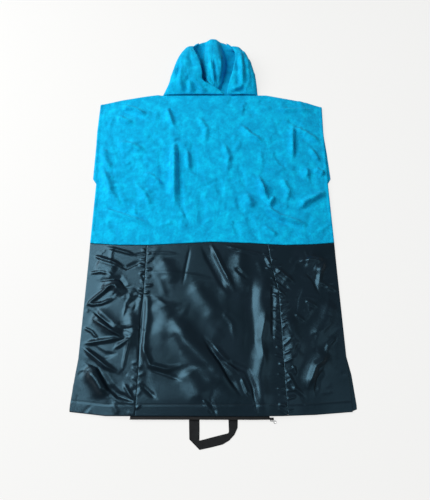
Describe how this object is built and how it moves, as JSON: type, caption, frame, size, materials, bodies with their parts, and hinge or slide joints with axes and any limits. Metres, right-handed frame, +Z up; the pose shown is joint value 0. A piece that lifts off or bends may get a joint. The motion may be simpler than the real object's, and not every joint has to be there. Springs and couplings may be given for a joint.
{
  "type": "hooded changing robe",
  "caption": "Hooded changing robe laid flat on its back: towelling upper and hood, coated lower panels, side vents, zip and webbing carry handle at the hem.",
  "frame": {"origin": "bottom centre of the whole robe as it lies, handle and hood included", "axes": "+Z up from the surface it lies on, +Y from the hem to the hood, +X to the right when the robe is seen from above with its hood at the top"},
  "size_m": [0.8293, 1.4285, 0.063],
  "materials": {
    "towelling": "matt cotton pile with a soft nap",
    "coated_cloth": "smooth coated weave with a satin sheen",
    "webbing": "ribbed black webbing",
    "zip_tape": "black tape with nylon teeth",
    "slider_metal": "black enamel",
    "pull_metal": "plated wire"
  },
  "bodies": {
    "robe": {"front_upper": "towelling", "back_upper": "towelling", "hood_left": "towelling", "hood_right": "towelling", "front_lower_left": "coated_cloth", "front_lower_centre": "coated_cloth", "front_lower_right": "coated_cloth", "back_lower": "coated_cloth", "hem_zip": "zip_tape", "zip_slider": "slider_metal", "carry_handle": "webbing"},
    "pull": {"zip_pull": "pull_metal"}
  },
  "joints": [
    {"name": "pull_swing", "type": "hinge", "parent": "robe", "child": "pull", "pos_m": [0.1688, -0.63802, 0.005], "axis": [0, 0, 1], "range_deg": [-147, 13]}
  ]
}
